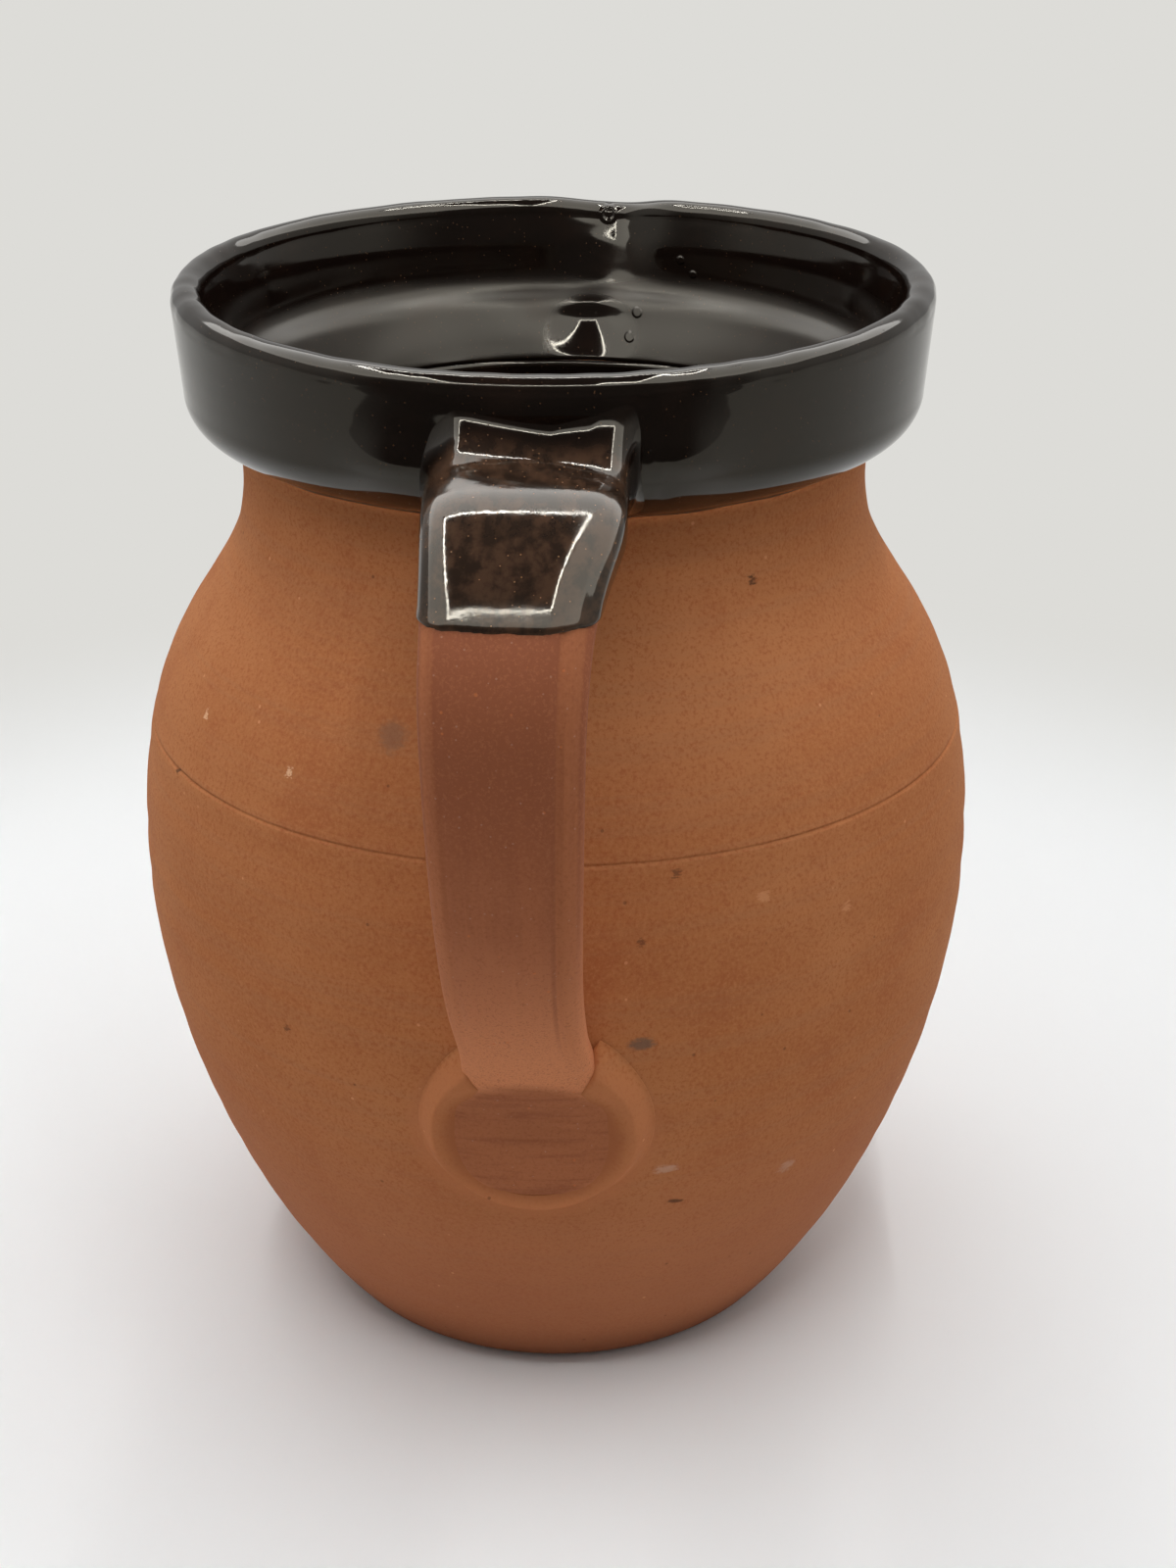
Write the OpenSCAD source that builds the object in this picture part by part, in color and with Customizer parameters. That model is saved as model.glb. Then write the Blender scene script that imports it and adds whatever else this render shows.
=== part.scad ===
// Terracotta jug with a glazed collar and a pulled strap handle, in millimetres.
// Z is up and the throwing axis is Z. The jug stands on z = 0, its handle is on -Y
// and its pouring lip is close to +Y.

/* [Thrown body] */
// Radius of the flat base
base_r = 46.3; // [42:0.1:50]
// Lean of the wall where it leaves the base, in degrees from upright
base_lean = 39; // [32:1:44]
// Height of the bevel that is wiped round the foot
foot_h = 1.4; // [0.6:0.1:3]
// Radius of the belly at its widest
belly_r = 78; // [74:0.5:84]
// Height of the widest part of the belly
belly_z = 92; // [84:0.5:100]
// Radius of the neck at its narrowest
neck_r = 56; // [52:0.5:60]
// Height of the narrowest part of the neck
neck_z = 165.5; // [158:0.5:174]
// Height of the upright neck from there to the collar
neck_h = 4.5; // [2:0.1:6]
// Thickness of the thrown wall
wall_t = 5; // [4:0.1:6.5]
// Thickness of the floor
floor_t = 7; // [5:0.5:11]
// Height of the line cut round the belly
line_z = 119.5; // [104:0.5:140]
// Width of the line cut round the belly
line_w = 0.9; // [0.5:0.1:2]
// Depth of the line cut round the belly
line_depth = 0.45; // [0.2:0.05:1]

/* [Collar and lip] */
// Height of the collar, from the neck to the top of the lip
collar_h = 29.5; // [27:0.5:34]
// Radius of the collar at the foot of its upright band
collar_r = 65; // [62:0.5:69]
// How much wider the band is at the lip than at its foot
collar_flare = 1.2; // [0:0.1:3]
// Rounding between the neck and the underside of the collar
neck_round = 3; // [2:0.1:3.5]
// Lean of the collar's underside, in degrees from upright
under_lean = 66; // [60:1:70]
// Rounding of the collar's lower edge
edge_round = 7; // [6:0.1:8]
// Height of the rounded top of the lip
lip_round = 2.6; // [1.6:0.1:3.4]
// Thickness of the wall at the lip
lip_t = 4.5; // [3.6:0.1:5.4]
// How much lower the rim stands over the handle than opposite it
rim_sag = 2.8; // [0:0.1:4]
// How far the pouring lip is drawn outward
pour_pull = 4.6; // [2:0.2:7]
// How far the pouring lip dips
pour_dip = 1.9; // [0:0.1:4]
// Half width of the pouring lip, in degrees round the collar
pour_spread = 7.5; // [5:0.5:11]
// How far down the collar the finger groove of the lip runs
pour_depth = 20; // [12:1:22]
// Turn of the pouring lip from the point opposite the handle, in degrees
pour_turn = 7.5; // [-12:0.5:12]

/* [Strap handle] */
// Height of the middle of the strap where it leaves the collar
root_z = 179.2; // [177:0.2:182]
// Width of the strap at its root
root_w = 31; // [26:0.2:33]
// Width of the strap where it meets the belly
landing_w = 20.6; // [17:0.2:24]
// How early the strap narrows from its root, from 1 for evenly
strap_taper = 1.65; // [1:0.05:2.2]
// Thickness of the strap at its root
root_t = 10.8; // [9:0.2:12]
// Thickness of the strap where it meets the belly
landing_t = 8.8; // [7:0.2:10.5]
// Distance from the throwing axis to the middle of the strap at its furthest
strap_reach = 104.4; // [98:0.2:112]
// Height at which the strap is furthest out
strap_mid_z = 153; // [146:0.5:158]
// Fullness of the crest along the level run from the root
crest_run = 13; // [9:0.5:18]
// Rise of the crest from that level run
crest_lift = 3; // [0:0.5:5]
// Fullness of the crest above the furthest point
crest_rise = 17; // [12:0.5:22]
// Fullness of the back of the strap below the furthest point
back_drop = 34; // [24:0.5:42]
// Sideways bow of the strap, as it was pulled by hand
strap_bow = 1.8; // [0:0.1:4]
// Squareness of the strap's section, from 2 for an oval
section_power = 3.4; // [2.6:0.1:5]
// Height of the middle of the pressed end on the belly
press_z = 69.5; // [62:0.5:76]
// Width of the pressed end
press_w = 30; // [26:0.5:34]
// Height of the pressed end
press_h = 30; // [26:0.5:34]
// How far the edge of the pressed end stands off the belly
press_t = 2; // [1.4:0.1:3]
// Depth of the hollow that the thumb left in the pressed end
press_dish = 0.9; // [0.3:0.1:1.2]

/* [Luting clay and glaze] */
// Reach of the clay smoothed round the root of the strap
luting_flare = 6.5; // [3:0.5:8]
// Share of that reach on the underside of the root
luting_under = 0.4; // [0.2:0.05:0.8]
// Length of strap that the luting at the collar covers
luting_run = 10; // [6:0.5:13]
// Thickness of the luting where it thins out on the strap
luting_edge = 0.3; // [0.2:0.05:0.6]
// Width of the ring smoothed round the pressed end
ring_w = 4.2; // [2.5:0.1:6]
// Thickness of that ring at its outer edge
ring_edge = 0.25; // [0.15:0.05:0.6]
// Angle, up from level, at which the ring ends on each side of the strap
ring_open = 56; // [40:1:62]
// Thickness of the glaze
glaze_t = 0.45; // [0.3:0.05:0.8]
// Height of the dip line of the glaze on the strap
dip_z = 170.8; // [169:0.1:173]
// Rise from where the collar starts to the edge of the glaze under it
under_dip = 2.4; // [1:0.1:3]

/* [Hidden] */
clay_colour = "#A8683F";
strap_colour = "#8A573B";
luting_colour = "#B8744A";
glaze_colour = "#2B211C";
collar_z = neck_z + neck_h;
rim_z = collar_z + collar_h;
// Curve of the inside between the flat of the floor and the wall
floor_flat_r = 24;
floor_curve_h = 12;
// Pull of the belly curve at the foot, under and over the widest part, and at the neck
foot_pull = 26;
belly_pull_down = 33;
belly_pull_up = 52;
neck_pull = 25;
// Lean of the strap, from upright, as it lands on the belly, and the pull of its curve there
landing_lean = 35;
landing_pull = 24;
// Clearance between pieces that follow the same curved face
seat_gap = 0.12;
// Spread of the sag of the rim away from the handle, larger for a shorter sag
sag_power = 1.8;
turn_steps = 120;
section_steps = 28;
crest_steps = 12;
back_steps = 14;
press_steps = 9;
ring_steps = 20;
// Height of the ring against the pressed end, as a share of press_t, and its shoulder:
// how far out it lies and how much of that height it keeps
ring_top = 0.8;
ring_shoulder = 0.45;
ring_fall = 0.8;

function mix(a, b, k) = a + (b - a) * k;
function clamp01(k) = min(max(k, 0), 1);
function signed_power(x, p) = sign(x) * pow(abs(x), p);
function backwards(list) = [for (i = [len(list) - 1:-1:0]) list[i]];
function without_last(list) = [for (i = [0:len(list) - 2]) list[i]];

// Points of a cubic curve from p0 to p3, without its first point
function curve(p0, p1, p2, p3, steps) = [
    for (i = [1:steps])
        let (t = i / steps, s = 1 - t)
            s * s * s * p0 + 3 * s * s * t * p1 + 3 * s * t * t * p2 + t * t * t * p3
];
// Direction of a line of points at its point i
function direction(points, i) =
    let (
        before = points[max(i - 1, 0)],
        after = points[min(i + 1, len(points) - 1)]
    )
    (after - before) / norm(after - before);
// The same line moved to its left by d
function moved_left(points, d) = [
    for (i = [0:len(points) - 1])
        let (way = direction(points, i))
            points[i] + d * [-way[1], way[0]]
];

// Outer face of the body from the foot to the collar, as [radius, height]
foot_top = [base_r + foot_h / 2, foot_h];
body_outer = concat(
    [[base_r - foot_h / 2, 0], foot_top],
    curve(
        foot_top,
        foot_top + foot_pull * [sin(base_lean), cos(base_lean)],
        [belly_r, belly_z - belly_pull_down],
        [belly_r, belly_z],
        12
    ),
    curve(
        [belly_r, belly_z],
        [belly_r, belly_z + belly_pull_up],
        [neck_r, neck_z - neck_pull],
        [neck_r, neck_z],
        14
    ),
    [[neck_r, collar_z]]
);

// Outer face of the collar from the neck to where the lip rounds over
under_run = collar_r - neck_r - (neck_round + edge_round) * (1 - cos(under_lean));
edge_foot_z = collar_z + neck_round * sin(under_lean) + under_run / tan(under_lean);
band_z = edge_foot_z + edge_round * sin(under_lean);
collar_outer = concat(
    [[neck_r, collar_z]],
    [
        for (a = [under_lean / 2, under_lean])
            [neck_r + neck_round * (1 - cos(a)), collar_z + neck_round * sin(a)]
    ],
    [
        for (k = [1:-0.25:0])
            let (a = under_lean * k)
                [
                    collar_r - edge_round * (1 - cos(a)),
                    edge_foot_z + edge_round * (sin(under_lean) - sin(a))
                ]
    ],
    [[collar_r + collar_flare, rim_z - lip_round]]
);
outer_by_height = [for (p = concat(body_outer, collar_outer)) [p[1], p[0]]];
// Radius of the clay's outer face at a height
function outer_r(z) = lookup(z, outer_by_height);

// Sag of the rim at a turn, and the height on the plain profile that sags to height z
function sag_at(turn) = rim_sag * pow((1 - sin(turn)) / 2, sag_power);
function before_sag(z, turn) = z < band_z
    ? z
    : band_z + (z - band_z) / (1 - sag_at(turn) / (rim_z - band_z));
// Radius of the outer face at a height, over the handle
function wall_r(z) = outer_r(before_sag(z, -90));

// Rounded top of the lip, from outside to inside
lip_top = [
    for (a = [30:30:150])
        [
            collar_r + collar_flare - lip_t / 2 * (1 - cos(a)),
            rim_z - lip_round + lip_round * sin(a)
        ]
];

// Inner face of the collar from the neck to the lip
collar_inner = concat(
    [[neck_r - wall_t, collar_z]],
    [
        for (p = moved_left(collar_outer, wall_t))
            if (p[1] > collar_z + 1 && p[1] < rim_z - lip_round - 2) p
    ],
    [[collar_r + collar_flare - lip_t, rim_z - lip_round]]
);

// Inner face of the body from the axis to the neck
wall_inner = concat(
    [
        for (p = moved_left(body_outer, wall_t))
            if (p[1] > floor_t + floor_curve_h && p[1] < collar_z - 1) p
    ],
    [[neck_r - wall_t, collar_z]]
);
wall_way = direction(wall_inner, 0);
floor_corner = wall_inner[0] - wall_way * (wall_inner[0][1] - floor_t) / wall_way[1];
body_inner = concat(
    [[0, floor_t], [floor_flat_r, floor_t]],
    curve(
        [floor_flat_r, floor_t],
        mix([floor_flat_r, floor_t], floor_corner, 0.7),
        mix(wall_inner[0], floor_corner, 0.7),
        wall_inner[0],
        6
    ),
    [for (i = [1:len(wall_inner) - 1]) wall_inner[i]]
);

// Closed surfaces from rings of points, each ring with the same number of points
function ring_faces(rings, closed) =
    let (count = len(rings), size = len(rings[0]))
    [
        for (i = [0:count - (closed ? 1 : 2)], j = [0:size - 1])
            let (
                here = i * size,
                next = (i + 1) % count * size,
                k = (j + 1) % size
            )
            each [
                [here + j, next + k, here + k],
                [here + j, next + j, next + k]
            ]
    ];
// End of a sweep, laid in strips across the ring from the side points inward
function cap_faces(size, start, flip) = [
    for (j = [0:size / 2 - 1])
        let (
            a = start + j,
            b = start + j + 1,
            c = start + size - j - 1,
            d = start + (size - j) % size
        )
        each [
            if (b != c) flip ? [a, c, b] : [a, b, c],
            if (j > 0) flip ? [a, d, c] : [a, c, d]
        ]
];
function all_points(rings) = [for (ring = rings, point = ring) point];
module loop_solid(rings) {
    polyhedron(all_points(rings), ring_faces(rings, true));
}
module swept_solid(rings) {
    size = len(rings[0]);
    polyhedron(
        all_points(rings),
        concat(
            ring_faces(rings, false),
            cap_faces(size, 0, false),
            cap_faces(size, (len(rings) - 1) * size, true)
        )
    );
}

// Middle line of the strap as [distance from the axis, height], down to the pressed end
root = [collar_r, root_z];
root_shares = [0, 0.08, 0.2, 0.36, 0.6, 1];
crest_foot = root + [luting_run, 0];
furthest = [strap_reach, strap_mid_z];
press_top = press_z + press_h / 2;
landing = [outer_r(press_top), press_top];
strap_line = concat(
    [for (k = root_shares) root + [luting_run * k, 0]],
    curve(
        crest_foot,
        crest_foot + [crest_run, crest_lift],
        furthest + [0, crest_rise],
        furthest,
        crest_steps
    ),
    curve(
        furthest,
        furthest - [0, back_drop],
        landing + landing_pull * [sin(landing_lean), cos(landing_lean)],
        landing,
        back_steps
    )
);
strap_end = len(strap_line) - 1;
function press_share(i) = sin(90 * (i - strap_end) / press_steps);
spine = concat(
    strap_line,
    [
        for (i = [strap_end + 1:strap_end + press_steps - 1])
            let (z = press_top - press_h * press_share(i))
                [outer_r(z), z]
    ]
);

// Half the width and half the thickness of the clay at point i of the spine
function half_width(i) = i <= strap_end
    ? mix(landing_w, root_w, pow(1 - i / strap_end, strap_taper)) / 2
    : let (v = press_share(i))
        max(press_w / 2 * sqrt(1 - pow(2 * v - 1, 2)), v < 0.5 ? landing_w / 2 : 0);
function half_thickness(i) = i <= strap_end
    ? mix(root_t, landing_t, i / strap_end) / 2
    : let (v = press_share(i))
        mix(landing_t / 2, press_t, clamp01(v / 0.3)) * (1 - pow(max(2 * v - 1, 0), 6));
function dish(i) = i <= strap_end
    ? 0
    : let (v = press_share(i)) press_dish * clamp01(v / 0.3) * (1 - pow(2 * v - 1, 2));

// A point beside the spine: x across the strap, n out of its face
function strap_point(i, x, n) =
    let (
        way = direction(spine, i),
        r = spine[i][0] - way[1] * n,
        z = spine[i][1] + way[0] * n,
        from_root = clamp01((spine[i][0] - collar_r) / luting_run),
        root_k = i < len(root_shares) ? from_root : 1,
        wrap_k = clamp01((i - strap_end + 5) / 5),
        bow = i > strap_end ? 0 : strap_bow * sin(180 * i / strap_end),
        across = x - bow,
        turn = across / spine[i][0] * 180 / PI,
        straight = mix(sqrt(pow(wall_r(z) + seat_gap, 2) - across * across), r, root_k),
        flat = [across, -straight],
        wrapped = r * [sin(turn), -cos(turn)],
        place = mix(flat, wrapped, wrap_k),
        away = max(norm(place), wall_r(z) + seat_gap)
    )
    concat(place * away / norm(place), z);
// A ring round the strap at point i, grown at the sides, on top and underneath
function strap_ring(i, side = 0, top = 0, under = 0) = [
    for (j = [0:section_steps - 1])
        let (
            angle = 360 * j / section_steps,
            across = signed_power(cos(angle), 2 / section_power),
            out = signed_power(sin(angle), 2 / section_power),
            hollow = out > 0 ? dish(i) * (1 - across * across) : 0
        )
        strap_point(
            i,
            across * (half_width(i) + side),
            out * (half_thickness(i) + (out > 0 ? top : under)) - hollow
        )
];
// End face of the strap against the wall, as rings from its middle out to its edge
seat_shares = [0.04, 0.3, 0.5, 0.7, 0.86];
function seat_ring(k) =
    let (less = (k - 1) * half_thickness(0))
    strap_ring(0, (k - 1) * half_width(0), less, less);
// Thickness of the luting at share k of its run along the strap
function flare(k) = luting_edge + luting_flare * (1 - sqrt(1 - pow(1 - k, 2)));
function luting_ring(i, skin = 0, share = 1) =
    let (grow = flare(root_shares[i]) * share)
    strap_ring(i, grow + skin, grow + skin, grow * luting_under + skin);

// Columns round the collar: fine at the root of the strap and at the pouring lip
pour_angle = 90 - pour_turn;
foot_w = root_w / 2 + flare(0) + glaze_t;
foot_rise = root_t / 2 + flare(0) + glaze_t;
foot_shares = [-1.04, -1, -0.96, -0.84, -0.6, -0.3, 0, 0.3, 0.6, 0.84, 0.96, 1, 1.04];
foot_turns = [for (k = foot_shares) -90 + asin(foot_w * k / collar_r)];
pour_turns = [for (k = [-3:0.375:3]) pour_angle + pour_spread * k];
// Angles between two columns, about as far apart as the step
function between(a, b, step) =
    let (n = ceil((b - a) / step))
    [for (i = [1:n - 1]) mix(a, b, i / n)];
column_turns = concat(
    foot_turns,
    between(foot_turns[len(foot_turns) - 1], pour_turns[0], 7),
    pour_turns,
    between(pour_turns[len(pour_turns) - 1], foot_turns[0] + 360, 7)
);
// A point of the collar's profile at a turn, drawn out where the pouring lip is
function collar_point(p, turn) =
    let (
        share = exp(-pow((turn - pour_angle) / pour_spread, 2)),
        up = clamp01((p[1] - rim_z + pour_depth) / pour_depth),
        sag = sag_at(turn) * clamp01((p[1] - band_z) / (rim_z - band_z)),
        r = p[0] + pour_pull * share * up
    )
    [r * cos(turn), r * sin(turn), p[1] - pour_dip * share * up * up - sag];
collar_profile = concat(collar_outer, lip_top, backwards(collar_inner));

// Height where the collar's glaze starts: its lower edge, or over the root of the strap
under_dip_z = collar_z + under_dip;
function glaze_start(turn) =
    let (k = abs(collar_r * sin(turn + 90)) / foot_w)
    turn > 0 || k > 1.001
        ? under_dip_z
        : before_sag(
            root_z + foot_rise * pow(1 - pow(min(k, 1), section_power), 1 / section_power),
            turn
        );
function glaze_profile(turn) =
    let (
        start = glaze_start(turn),
        lip_foot = rim_z - lip_round,
        heights = concat(
            under_dip_z,
            [for (p = collar_outer) if (p[1] > under_dip_z + 0.6) p[1]]
        ),
        outside = [
            for (h = heights)
                let (z = mix(start, lip_foot, (h - under_dip_z) / (lip_foot - under_dip_z)))
                    [outer_r(z), z]
        ],
        clay = concat(outside, lip_top, backwards(collar_inner)),
        skin = concat(
            without_last(moved_left(clay, -glaze_t)),
            [[neck_r - wall_t - glaze_t, collar_z]]
        )
    )
    concat(clay, backwards(skin));

// A point on the belly beside the handle: [x round the wall, z], and h out of its face
function belly_point(place, h) =
    let (
        z = place[1],
        way = direction([[outer_r(z - 1), z - 1], [outer_r(z + 1), z + 1]], 0),
        r = outer_r(z) + way[1] * h,
        turn = place[0] / outer_r(z) * 180 / PI
    )
    [r * sin(turn), -r * cos(turn), z - way[0] * h];
// Section of the ring at an angle round the pressed end, from its inner foot
function ring_section(angle) =
    let (
        side = press_w / 2 * cos(angle),
        beside_strap = sin(angle) > 0 && abs(side) < landing_w / 2,
        inner = [
            beside_strap ? sign(side) * landing_w / 2 : side,
            press_z + press_h / 2 * sin(angle)
        ],
        outer = [
            (press_w / 2 + ring_w) * cos(angle),
            press_z + ring_w / 2 + (press_h / 2 + ring_w) * sin(angle)
        ],
        shoulder = mix(inner, outer, ring_shoulder),
        high = press_t * ring_top
    )
    [
        belly_point(inner, seat_gap),
        belly_point(inner, high),
        belly_point(shoulder, high * ring_fall),
        belly_point(outer, ring_edge),
        belly_point(outer, seat_gap),
        belly_point(shoulder, seat_gap)
    ];

// Thrown wall of the jug with its flat base and the line cut round the belly
module body() color(clay_colour)
    difference() {
        rotate_extrude($fn = turn_steps)
            polygon(concat([[0, 0]], body_outer, backwards(body_inner)));
        rotate_extrude($fn = turn_steps)
            polygon([
                [outer_r(line_z) - line_depth, line_z],
                [outer_r(line_z - line_w / 2) + line_depth, line_z - line_w],
                [outer_r(line_z + line_w / 2) + line_depth, line_z + line_w]
            ]);
    }

// Thick collar over the neck, with its rounded lip drawn out to pour
module rim_collar() color(clay_colour)
    loop_solid([
        for (turn = column_turns) [for (p = backwards(collar_profile)) collar_point(p, turn)]
    ]);

// Pulled strap from the collar to its end pressed on the belly
module handle() color(strap_colour)
    swept_solid(concat(
        [for (k = seat_shares) seat_ring(k)],
        [for (i = [0:len(spine) - 1]) strap_ring(i)]
    ));

// Soft clay smoothed round the root of the strap
module upper_luting() color(luting_colour)
    loop_solid(concat(
        [for (i = [0:len(root_shares) - 1]) luting_ring(i)],
        [for (i = [len(root_shares) - 1:-1:0]) strap_ring(i)],
        [for (k = [0.33, 0.67]) luting_ring(0, 0, k)]
    ));

// Ring of clay smoothed round the pressed end, open where the strap comes in
module lower_luting() color(luting_colour)
    swept_solid([
        for (k = [0:ring_steps]) ring_section(mix(-180 - ring_open, ring_open, k / ring_steps))
    ]);

// Glaze poured inside the body
module lining_glaze() color(glaze_colour)
    rotate_extrude($fn = turn_steps)
        polygon(concat(
            body_inner,
            [[neck_r - wall_t - glaze_t, collar_z]],
            backwards(without_last(moved_left(body_inner, glaze_t)))
        ));

// Glaze dipped over the collar, open over the root of the strap
module collar_glaze() color(glaze_colour)
    loop_solid([
        for (turn = column_turns) [for (p = glaze_profile(turn)) collar_point(p, turn)]
    ]);

// The same glaze over the luting and the crest of the strap, down to the dip line
glazed_end = len(root_shares) + crest_steps - 2;
module handle_glaze() color(glaze_colour)
    difference() {
        loop_solid(concat(
            [for (i = [0:len(root_shares) - 1]) luting_ring(i, glaze_t)],
            [for (i = [len(root_shares):glazed_end]) strap_ring(i, glaze_t, glaze_t, glaze_t)],
            [for (i = [glazed_end:-1:len(root_shares)]) strap_ring(i)],
            [for (i = [len(root_shares) - 1:-1:0]) luting_ring(i)]
        ));
        translate([-root_w, -2 * strap_reach, 0])
            cube([2 * root_w, 2 * strap_reach, dip_z]);
    }

body();
rim_collar();
handle();
upper_luting();
lower_luting();
lining_glaze();
collar_glaze();
handle_glaze();
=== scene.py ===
import math

import bpy
import numpy as np
from mathutils import Matrix, Vector


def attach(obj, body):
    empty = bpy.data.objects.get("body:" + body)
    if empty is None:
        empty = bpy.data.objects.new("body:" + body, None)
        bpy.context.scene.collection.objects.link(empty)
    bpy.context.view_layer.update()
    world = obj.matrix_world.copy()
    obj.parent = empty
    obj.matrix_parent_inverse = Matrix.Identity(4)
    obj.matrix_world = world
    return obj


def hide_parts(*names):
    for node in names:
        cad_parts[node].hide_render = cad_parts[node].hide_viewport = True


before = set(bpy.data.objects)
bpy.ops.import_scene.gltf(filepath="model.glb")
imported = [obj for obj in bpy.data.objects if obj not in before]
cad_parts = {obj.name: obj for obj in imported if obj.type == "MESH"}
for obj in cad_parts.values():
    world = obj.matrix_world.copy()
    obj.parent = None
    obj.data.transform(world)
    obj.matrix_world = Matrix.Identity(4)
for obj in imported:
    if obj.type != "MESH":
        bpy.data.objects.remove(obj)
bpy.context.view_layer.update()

# Sizes are in millimetres and degrees, as in the CAD source. Turn 0 is +X and -90 is the handle.
clay = {
    "baseR": 46.3, "baseLean": 39, "footH": 1.4, "bellyR": 78, "bellyZ": 92,
    "neckR": 56, "neckZ": 165.5, "neckRise": 4.5, "wall": 5, "floor": 7,
    "lineZ": 119.5, "lineWidth": 0.9, "lineDepth": 0.4,
    "footPull": 26, "bellyPullDown": 33, "bellyPullUp": 52, "neckPull": 25,
    "floorFlat": 24, "floorCurve": 12,
    "turns": 320, "waver": 0.1,
}
collar = {
    "height": 29.5, "radius": 65, "flare": 1.2, "neckRound": 3, "underLean": 66,
    "edgeRound": 7, "lipRound": 2.6, "lip": 4.5, "lipPower": 0.88, "sag": 2.8, "sagPower": 1.8,
    "pourPull": 4.6, "pourDip": 1.9, "pourSpread": 7.5, "pourDepth": 20, "pourTurn": 82.5,
    # the hollow that the finger left inside, under the pouring lip
    "thumb": 2.0, "thumbTurn": 85.6, "thumbZ": 177, "thumbWidth": 6.6, "thumbHeight": 5.3,
    "inner": ((170, 51), (170.6, 51.2), (171.5, 51.65), (175, 53.45), (180, 56.05), (180.8, 56.8),
              (181.6, 58), (182.5, 59), (184, 59.7), (186, 60.1), (192, 60.6)),
    "turns": 420,
}
strap = {
    "rootZ": 179.2, "rootWidth": 31, "landingWidth": 20.9, "rootThick": 10.8, "landingThick": 8.8,
    "reach": 104.4, "midZ": 153, "crestRun": 14.2, "crestLift": 3, "crestRise": 15.6, "taper": 1.5, "backDrop": 34, "bow": 1.8, "lowBow": 0.7,
    "power": 3.4, "landingLean": 35, "landingPull": 24,
    "pressZ": 69.5, "pressWidth": 30, "pressHeight": 30, "pressThick": 2, "pressDish": 0.9, "spread": 0.6,
    "shoulder": 2.4, "shoulderAt": 7.8, "waist": 0.8, "roundRight": 1.5,  # hand-made swell on the right and draw-in on the left
    "section": 132, "gap": 0.12,
}
luting = {
    "flare": 8.6, "under": 0.31, "run": 10, "edge": 0.3,
    "leftLow": 0.25, "leftHigh": 0.6, "rightLow": 0.4, "rightHigh": 0.75,
    # across the strap, the size of the hollow fillet over its root and how far it is raised
    "fillets": ((-1, 4, 0), (-0.85, 6, 2), (-0.66, 8.2, 3.4), (-0.3, 9, 2), (0.25, 9, 0.7), (0.6, 11.5, 0.4), (0.85, 15, 0.3), (1, 16, 0.2)),
    "ringLeft": 3.9, "ringRight": 4.8, "ringLow": 2.8, "ringEdge": 0.04, "ringOpen": 57, "ringTop": 2.8, "ringEnds": 1.4,
    "ringReach": 1.0,
}
glazing = {
    "thick": 0.45, "dipZ": 170.8, "underDip": 2.4, "waver": 0.35,
    "bead": 0.22, "beadWidth": 1.6, "strapBead": 0.03, "strapBeadWidth": 1.0,
}
collarZ = clay["neckZ"] + clay["neckRise"]


def waves(x, seed, low, high, fade=1.0):
    # smooth noise of x in radians, with whole cycles from low to high
    dice = np.random.default_rng(seed)
    total = np.zeros_like(x, float)
    for k in range(low, high + 1):
        total += np.cos(k * x + dice.uniform(0, 2 * math.pi)) * dice.uniform(0.4, 1) / k ** fade
    return total / np.sqrt(sum(0.3 / k ** (2 * fade) for k in range(low, high + 1)))


def bezier(p0, p1, p2, p3, steps):
    t = np.linspace(0, 1, steps + 1)[:, None]
    s = 1 - t
    p0, p1, p2, p3 = (np.array(p, float) for p in (p0, p1, p2, p3))
    return s ** 3 * p0 + 3 * s * s * t * p1 + 3 * s * t * t * p2 + t ** 3 * p3


def movedLeft(line, distance):
    way = np.gradient(line, axis=0)
    way /= np.linalg.norm(way, axis=1)[:, None]
    return line + distance * np.stack([-way[:, 1], way[:, 0]], 1)


def evenly(line, step):
    # the same line with points about a step apart
    run = np.concatenate([[0], np.cumsum(np.linalg.norm(np.diff(line, axis=0), axis=1))])
    at = np.linspace(0, run[-1], max(2, int(round(run[-1] / step)) + 1))
    return np.stack([np.interp(at, run, line[:, k]) for k in range(line.shape[1])], 1)


def dome(x, z, x0, z0, wide, high):
    return np.exp(-((x - x0) / wide) ** 2 - ((z - z0) / high) ** 2)


def smoothstep(x):
    x = np.clip(x, 0, 1)
    return x * x * (3 - 2 * x)


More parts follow.
